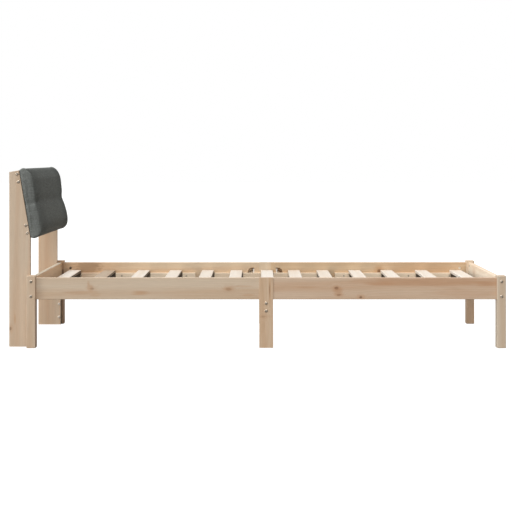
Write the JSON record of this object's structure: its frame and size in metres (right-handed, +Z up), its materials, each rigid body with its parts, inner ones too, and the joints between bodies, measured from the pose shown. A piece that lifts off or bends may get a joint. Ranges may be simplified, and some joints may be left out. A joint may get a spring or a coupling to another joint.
{
  "type": "single bed frame",
  "caption": "Low pine single bed frame: posts, bolted side rails on a middle leg, slats on ledges, and a slanted padded headrest.",
  "frame": {"origin": "middle of the footprint, on the floor", "axes": "+X along the bed from head to foot, +Y to the right side seen from the foot, +Z up"},
  "size_m": [2.1642, 0.9966, 0.7806],
  "materials": {
    "frame_pine": "bare sanded pine with fine grain and small knots",
    "slat_pine": "pale sawn pine, lightly sanded",
    "plywood": "raw thin plywood",
    "headrest_fabric": "dark grey woven upholstery cloth",
    "zinc_steel": "zinc plated steel"
  },
  "bodies": {
    "root": {"batten_barrel_nuts": "zinc_steel", "batten_bolts": "zinc_steel", "board_barrel_nuts": "zinc_steel", "board_bolts": "zinc_steel", "foot_board": "frame_pine", "foot_post_left": "frame_pine", "foot_post_right": "frame_pine", "half_moon_washers": "zinc_steel", "head_board": "frame_pine", "head_post_left": "frame_pine", "head_post_right": "frame_pine", "headrest_batten_lower": "frame_pine", "headrest_batten_upper": "frame_pine", "headrest_pad": "headrest_fabric", "headrest_panel": "plywood", "headrest_upright_left": "frame_pine", "headrest_upright_right": "frame_pine", "joint_hex_nuts": "zinc_steel", "joint_studs": "zinc_steel", "ledge_screws": "zinc_steel", "middle_leg_left": "frame_pine", "middle_leg_right": "frame_pine", "panel_screws": "zinc_steel", "rail_barrel_nuts": "zinc_steel", "rail_bolts": "zinc_steel", "side_rail_foot_left": "frame_pine", "side_rail_foot_right": "frame_pine", "side_rail_head_left": "frame_pine", "side_rail_head_right": "frame_pine", "slat_01": "slat_pine", "slat_02": "slat_pine", "slat_03": "slat_pine", "slat_04": "slat_pine", "slat_05": "slat_pine", "slat_06": "slat_pine", "slat_07": "slat_pine", "slat_08": "slat_pine", "slat_09": "slat_pine", "slat_10": "slat_pine", "slat_11": "slat_pine", "slat_12": "slat_pine", "slat_13": "slat_pine", "slat_ledge_foot_left": "frame_pine", "slat_ledge_foot_right": "frame_pine", "slat_ledge_head_left": "frame_pine", "slat_ledge_head_right": "frame_pine", "slat_ledge_middle_left": "frame_pine", "slat_ledge_middle_right": "frame_pine", "slat_screws": "zinc_steel", "tie_beam": "frame_pine", "tie_beam_barrel_nuts": "zinc_steel", "tie_beam_bolts": "zinc_steel", "upright_bolts": "zinc_steel"}
  },
  "joints": []
}
